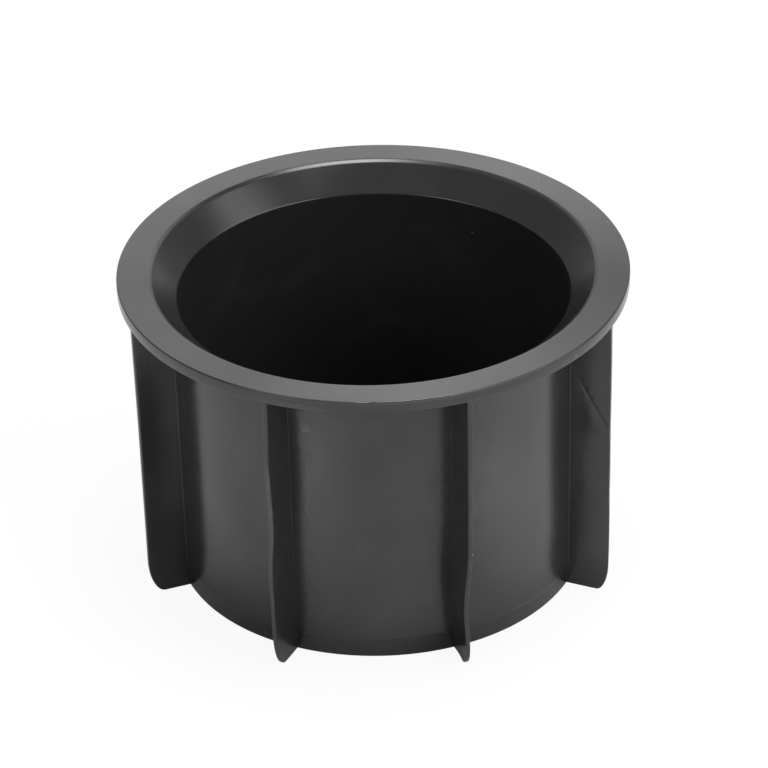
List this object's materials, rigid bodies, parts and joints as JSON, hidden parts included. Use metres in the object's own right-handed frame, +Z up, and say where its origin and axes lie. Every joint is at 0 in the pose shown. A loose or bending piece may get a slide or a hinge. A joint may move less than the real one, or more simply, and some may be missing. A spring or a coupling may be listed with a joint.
{
  "type": "car cup holder insert",
  "caption": "Round drop-in cup holder with a flat rim, a funnel mouth and thin upright fins that flex to hold it in a well.",
  "frame": {"origin": "middle of the foot, on the surface the cup holder stands on", "axes": "+Z up along the cup's axis; +Y away from the picture's camera; +X to the right; the fins stand at 22.5 degrees from the axes and every 45 degrees"},
  "size_m": [0.1014, 0.1014, 0.065],
  "materials": {
    "black_plastic": "satin"
  },
  "bodies": {
    "root": {"cup_holder": "black_plastic"}
  },
  "joints": []
}
